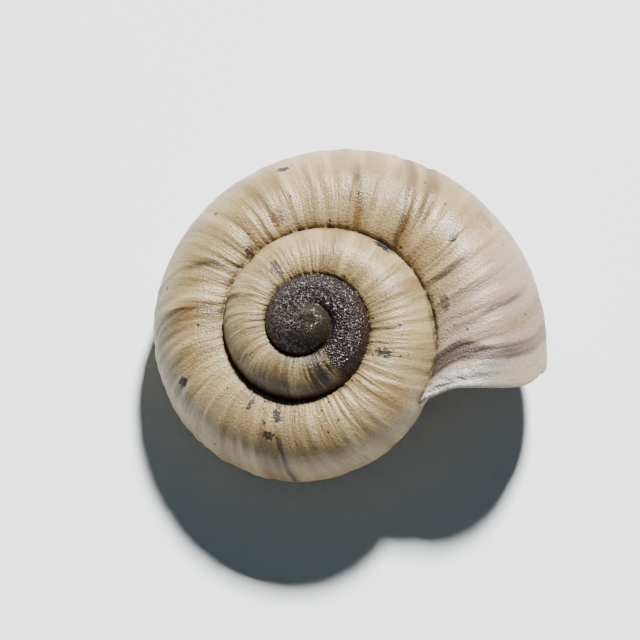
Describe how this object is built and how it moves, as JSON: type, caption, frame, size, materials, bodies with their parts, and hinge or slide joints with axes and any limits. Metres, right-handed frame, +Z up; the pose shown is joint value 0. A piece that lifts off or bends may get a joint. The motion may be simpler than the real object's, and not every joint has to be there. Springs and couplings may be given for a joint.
{
  "type": "land snail shell",
  "caption": "Empty right-handed land snail shell, low-domed and thin-walled, coiled from a smooth dark nucleus to a wide open mouth; rests on its base.",
  "frame": {"origin": "bottom centre of the bounding box: on the surface the shell rests on, below the middle of its outline", "axes": "+X along the longest extent, towards the mouth side; +Y away from the viewer; +Z up, out of the spire side"},
  "size_m": [0.005, 0.0042, 0.0022],
  "materials": {
    "shell": "satin, finely wrinkled along the growth lines"
  },
  "bodies": {
    "root": {"shell": "shell"}
  },
  "joints": []
}
